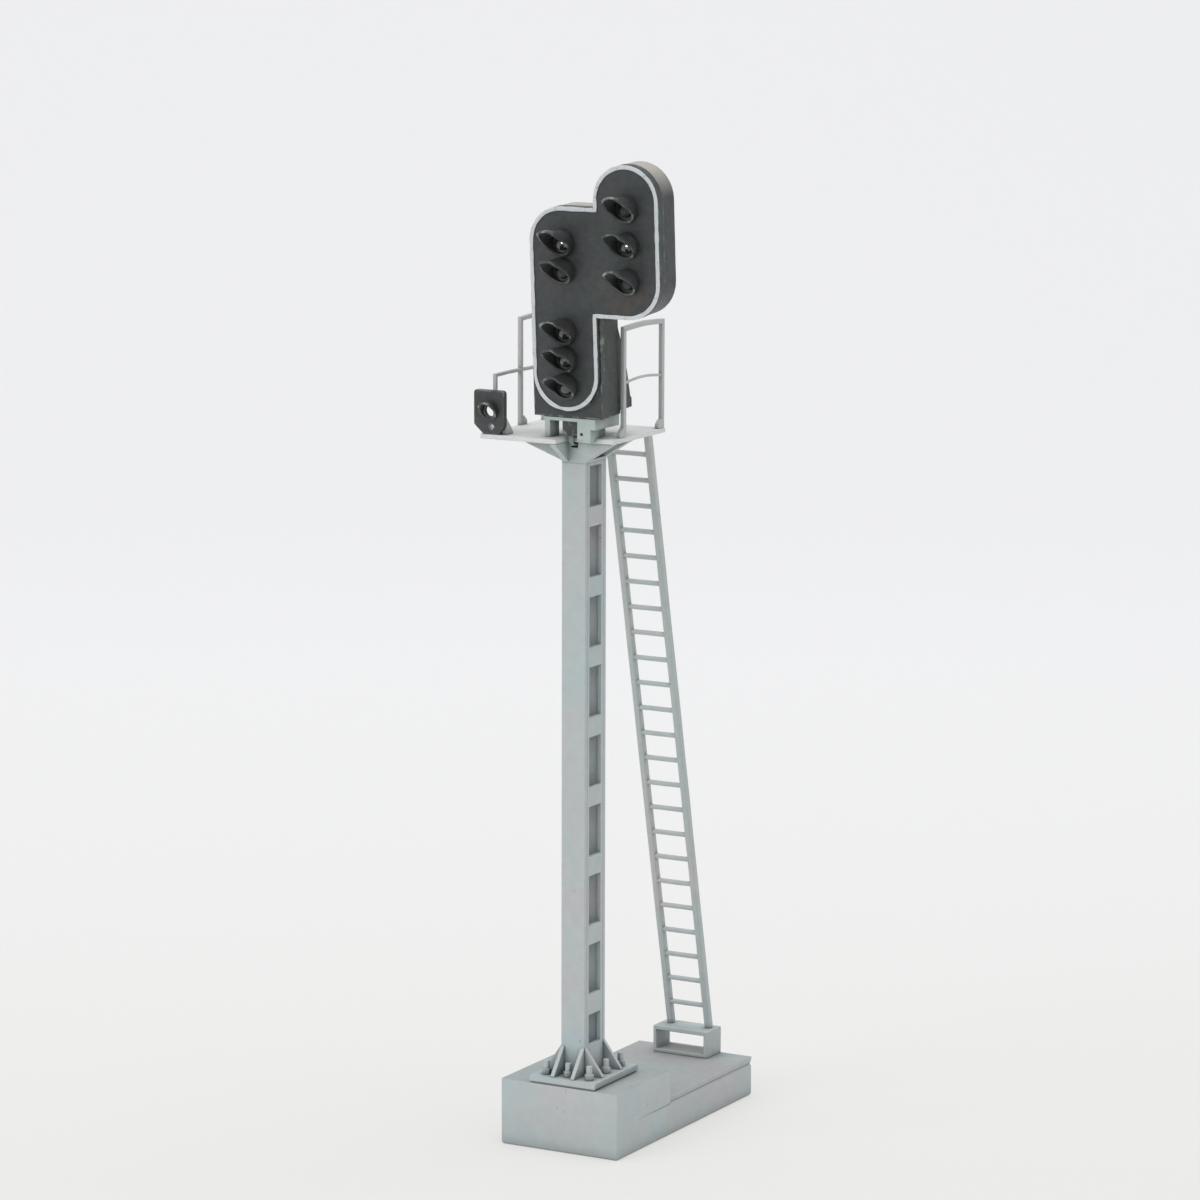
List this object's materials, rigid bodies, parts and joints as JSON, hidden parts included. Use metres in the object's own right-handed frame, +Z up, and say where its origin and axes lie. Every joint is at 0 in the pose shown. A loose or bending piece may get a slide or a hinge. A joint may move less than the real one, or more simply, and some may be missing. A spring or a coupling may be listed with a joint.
{
  "type": "model railway colour-light signal mast",
  "caption": "Scale model of a colour-light railway signal: a battened mast on a stepped foundation carries a railed platform, a leaning ladder, a marker lamp and a hooded signal head.",
  "frame": {"origin": "on the mast's vertical axis, at the underside of the foundation", "axes": "+Z up; the signal faces -Y; +X to the right when looking along +Y at the lamps"},
  "size_m": [0.026, 0.0412, 0.1239],
  "materials": {
    "grey_paint": "matt light grey paint over printed resin",
    "anchor_paint": "matt grey paint over printed studs",
    "black_paint": "satin black paint over printed resin",
    "trim_paint": "hand-painted light grey line",
    "lens_resin": "clear glossy resin over an unlit lamp",
    "board_laminate": "green circuit board",
    "wire_enamel": "dark varnished wire, bundled"
  },
  "bodies": {
    "root": {"foundation_slab": "grey_paint", "mast_plinth": "grey_paint", "ladder_plinth": "grey_paint", "levelling_plate": "grey_paint", "mast_foot": "grey_paint", "mast_front_plate": "grey_paint", "mast_rear_plate": "grey_paint", "mast_side_plate_right": "grey_paint", "mast_side_plate_left": "grey_paint", "mast_head_bracket": "grey_paint", "platform_deck": "grey_paint", "head_support": "grey_paint", "marker_bracket": "grey_paint", "guard_rail_right": "grey_paint", "guard_rail_left": "grey_paint", "mid_rail_right": "grey_paint", "ladder": "grey_paint", "ladder_foot_frame": "grey_paint", "anchor_stud_1": "anchor_paint", "anchor_stud_2": "anchor_paint", "anchor_stud_3": "anchor_paint", "anchor_stud_4": "anchor_paint", "anchor_stud_5": "anchor_paint", "anchor_stud_6": "anchor_paint", "anchor_stud_7": "anchor_paint", "anchor_stud_8": "anchor_paint", "cable_duct": "black_paint", "target_panel": "black_paint", "head_housing": "black_paint", "rear_cover": "black_paint", "marker_plate": "black_paint", "marker_hood": "black_paint", "lamp_hood_left_1": "black_paint", "lamp_hood_left_2": "black_paint", "lamp_hood_left_3": "black_paint", "lamp_hood_left_4": "black_paint", "lamp_hood_left_5": "black_paint", "lamp_hood_right_1": "black_paint", "lamp_hood_right_2": "black_paint", "lamp_hood_right_3": "black_paint", "target_trim": "trim_paint", "lamp_lens_left_1": "lens_resin", "lamp_lens_left_2": "lens_resin", "lamp_lens_left_3": "lens_resin", "lamp_lens_left_4": "lens_resin", "lamp_lens_left_5": "lens_resin", "lamp_lens_right_1": "lens_resin", "lamp_lens_right_2": "lens_resin", "lamp_lens_right_3": "lens_resin", "lamp_board": "board_laminate", "wire_bundle": "wire_enamel"}
  },
  "joints": []
}
